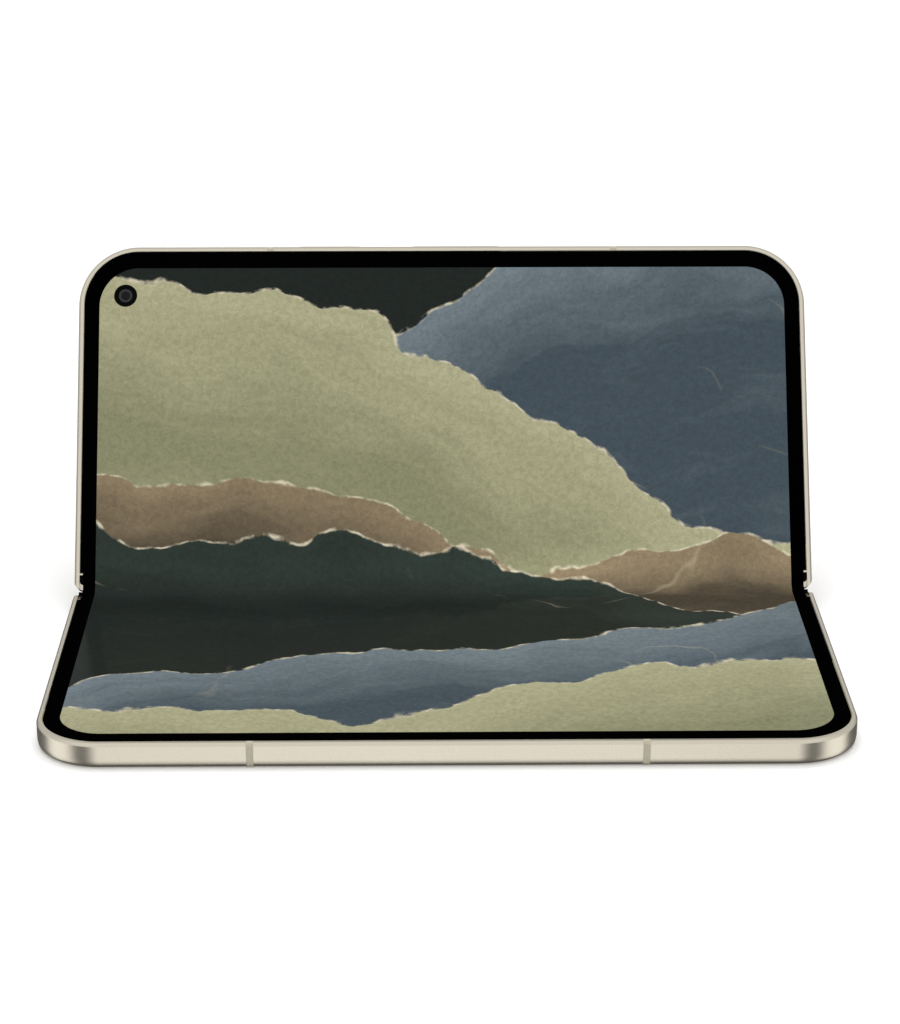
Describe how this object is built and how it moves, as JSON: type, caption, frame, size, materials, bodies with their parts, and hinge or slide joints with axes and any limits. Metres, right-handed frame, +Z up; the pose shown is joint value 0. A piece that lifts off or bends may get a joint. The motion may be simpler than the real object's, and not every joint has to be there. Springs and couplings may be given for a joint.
{
  "type": "foldable smartphone",
  "caption": "Book-style foldable phone standing half open as a small laptop, with a geared two-axis hinge, flexible screen, side keys and card tray.",
  "frame": {"origin": "centre of the cover half's outer face, which rests on the table", "axes": "+X along the hinge, to the right as seen from the front; +Y from the front edge towards the hinge and the leaning half; +Z up"},
  "size_m": [0.1552, 0.1161, 0.0695],
  "materials": {
    "satin_aluminium": "bead-blasted and anodised in a pale champagne tone",
    "band_plastic": "satin moulded plastic, a shade darker than the rim",
    "black_glass": "polished black glass",
    "frosted_glass": "satin etched glass in the rim's tone",
    "lens_glass": "polished clear glass over black",
    "screen": "glossy flexible screen, lit",
    "border": "satin black",
    "outer_screen": "dark switched-off panel",
    "hinge_steel": "fine brushed",
    "hinge_bronze": "sintered, fine matte",
    "circuit_board": "solder-masked laminate",
    "battery_pouch": "aluminium foil pouch, satin",
    "flex_copper": "amber polyimide film over copper",
    "module_black": "fine matte black",
    "flash_lens": "pale ribbed lens"
  },
  "bodies": {
    "cover_half": {"cover_frame": "satin_aluminium", "cover_antenna_bands": "band_plastic", "cover_glass": "black_glass", "cover_screen": "outer_screen", "cover_camera": "module_black", "cover_battery": "battery_pouch", "cover_board": "circuit_board", "earpiece": "module_black", "sim_reader": "hinge_steel", "cover_backplate": "hinge_steel", "cover_display": "screen", "cover_border": "border", "cover_pivot_arms": "hinge_steel", "cover_link_brackets": "hinge_steel", "cover_hinge_screws": "hinge_steel"},
    "sim_tray": {"sim_tray": "satin_aluminium"},
    "cover_wing": {"cover_wing": "hinge_steel"},
    "spine": {"spine_cover": "satin_aluminium", "spine_end_caps": "module_black", "hinge_blocks": "hinge_bronze", "drive_shafts": "hinge_steel", "idler_shafts": "hinge_steel", "torque_springs": "hinge_steel", "spine_screws": "hinge_steel", "fold_display": "screen", "fold_border": "border", "hinge_cables": "flex_copper"},
    "cover_link": {"cover_link": "hinge_bronze"},
    "cover_idler": {"cover_idler": "hinge_bronze"},
    "main_idler": {"main_idler": "hinge_bronze"},
    "main_link": {"main_link": "hinge_bronze"},
    "main_half": {"main_frame": "satin_aluminium", "main_antenna_bands": "band_plastic", "rear_glass": "frosted_glass", "camera_island": "satin_aluminium", "camera_windows": "lens_glass", "wide_camera": "module_black", "ultrawide_camera": "module_black", "tele_camera": "module_black", "flash": "flash_lens", "inner_camera": "module_black", "main_board": "circuit_board", "board_shields": "hinge_steel", "main_battery": "battery_pouch", "charging_coil": "flex_copper", "vibration_motor": "hinge_steel", "loudspeaker": "module_black", "usb_shell": "hinge_steel", "usb_tongue": "module_black", "key_switches": "flex_copper", "main_backplate": "hinge_steel", "main_display": "screen", "main_border": "border", "main_pivot_arms": "hinge_steel", "main_link_brackets": "hinge_steel", "main_hinge_screws": "hinge_steel"},
    "power_key": {"power_key": "satin_aluminium"},
    "volume_key": {"volume_key": "satin_aluminium"},
    "main_wing": {"main_wing": "hinge_steel"}
  },
  "joints": [
    {"name": "spine_fold", "type": "hinge", "parent": "cover_half", "child": "spine", "pos_m": [0, 0.03642, 0.00407], "axis": [1, 0, 0], "range_deg": [-30, 60], "deforming": ["fold_display", "fold_border", "hinge_cables"]},
    {"name": "main_fold", "type": "hinge", "parent": "spine", "child": "main_half", "pos_m": [0, 0.03846, 0.00525], "axis": [1, 0, 0], "range_deg": [-30, 60]},
    {"name": "cover_link_turn", "type": "hinge", "parent": "spine", "child": "cover_link", "pos_m": [0, 0.03665, 0.00244], "axis": [1, 0, 0], "range_deg": [-60, 30]},
    {"name": "cover_idler_turn", "type": "hinge", "parent": "spine", "child": "cover_idler", "pos_m": [0, 0.03769, 0.00304], "axis": [1, 0, 0], "range_deg": [-30, 60]},
    {"name": "main_idler_turn", "type": "hinge", "parent": "spine", "child": "main_idler", "pos_m": [0, 0.03872, 0.00364], "axis": [1, 0, 0], "range_deg": [-60, 30]},
    {"name": "main_link_turn", "type": "hinge", "parent": "spine", "child": "main_link", "pos_m": [0, 0.03976, 0.00424], "axis": [1, 0, 0], "range_deg": [-30, 60]},
    {"name": "cover_wing_tilt", "type": "hinge", "parent": "cover_half", "child": "cover_wing", "pos_m": [0, 0.0286, 0.00407], "axis": [1, 0, 0], "range_deg": [-6.71, 3.38]},
    {"name": "main_wing_tilt", "type": "hinge", "parent": "main_half", "child": "main_wing", "pos_m": [0, 0.04237, 0.01203], "axis": [1, 0, 0], "range_deg": [-3.38, 6.71]},
    {"name": "power_key_press", "type": "slide", "parent": "main_half", "child": "power_key", "axis": [0, -0.5, -0.866], "range_m": [0, 0.00025], "stiffness_N_per_m": 600, "springref_m": -0.0003},
    {"name": "volume_key_rock", "type": "hinge", "parent": "main_half", "child": "volume_key", "pos_m": [0.003, 0.07579, 0.06675], "axis": [0, -0.866, 0.5], "range_deg": [-1.2, 1.2], "stiffness_Nm_per_rad": 0.05},
    {"name": "sim_tray_slide", "type": "slide", "parent": "cover_half", "child": "sim_tray", "axis": [1, 0, 0], "range_m": [0, 0.016]}
  ],
  "couplings": [
    {"joint": "main_fold", "follows": "spine_fold", "ratio": 1},
    {"joint": "cover_link_turn", "follows": "spine_fold", "ratio": -1},
    {"joint": "cover_idler_turn", "follows": "spine_fold", "ratio": 1},
    {"joint": "main_idler_turn", "follows": "spine_fold", "ratio": -1},
    {"joint": "main_link_turn", "follows": "spine_fold", "ratio": 1},
    {"joint": "cover_wing_tilt", "follows": "spine_fold", "ratio": -0.111},
    {"joint": "main_wing_tilt", "follows": "spine_fold", "ratio": 0.111}
  ]
}
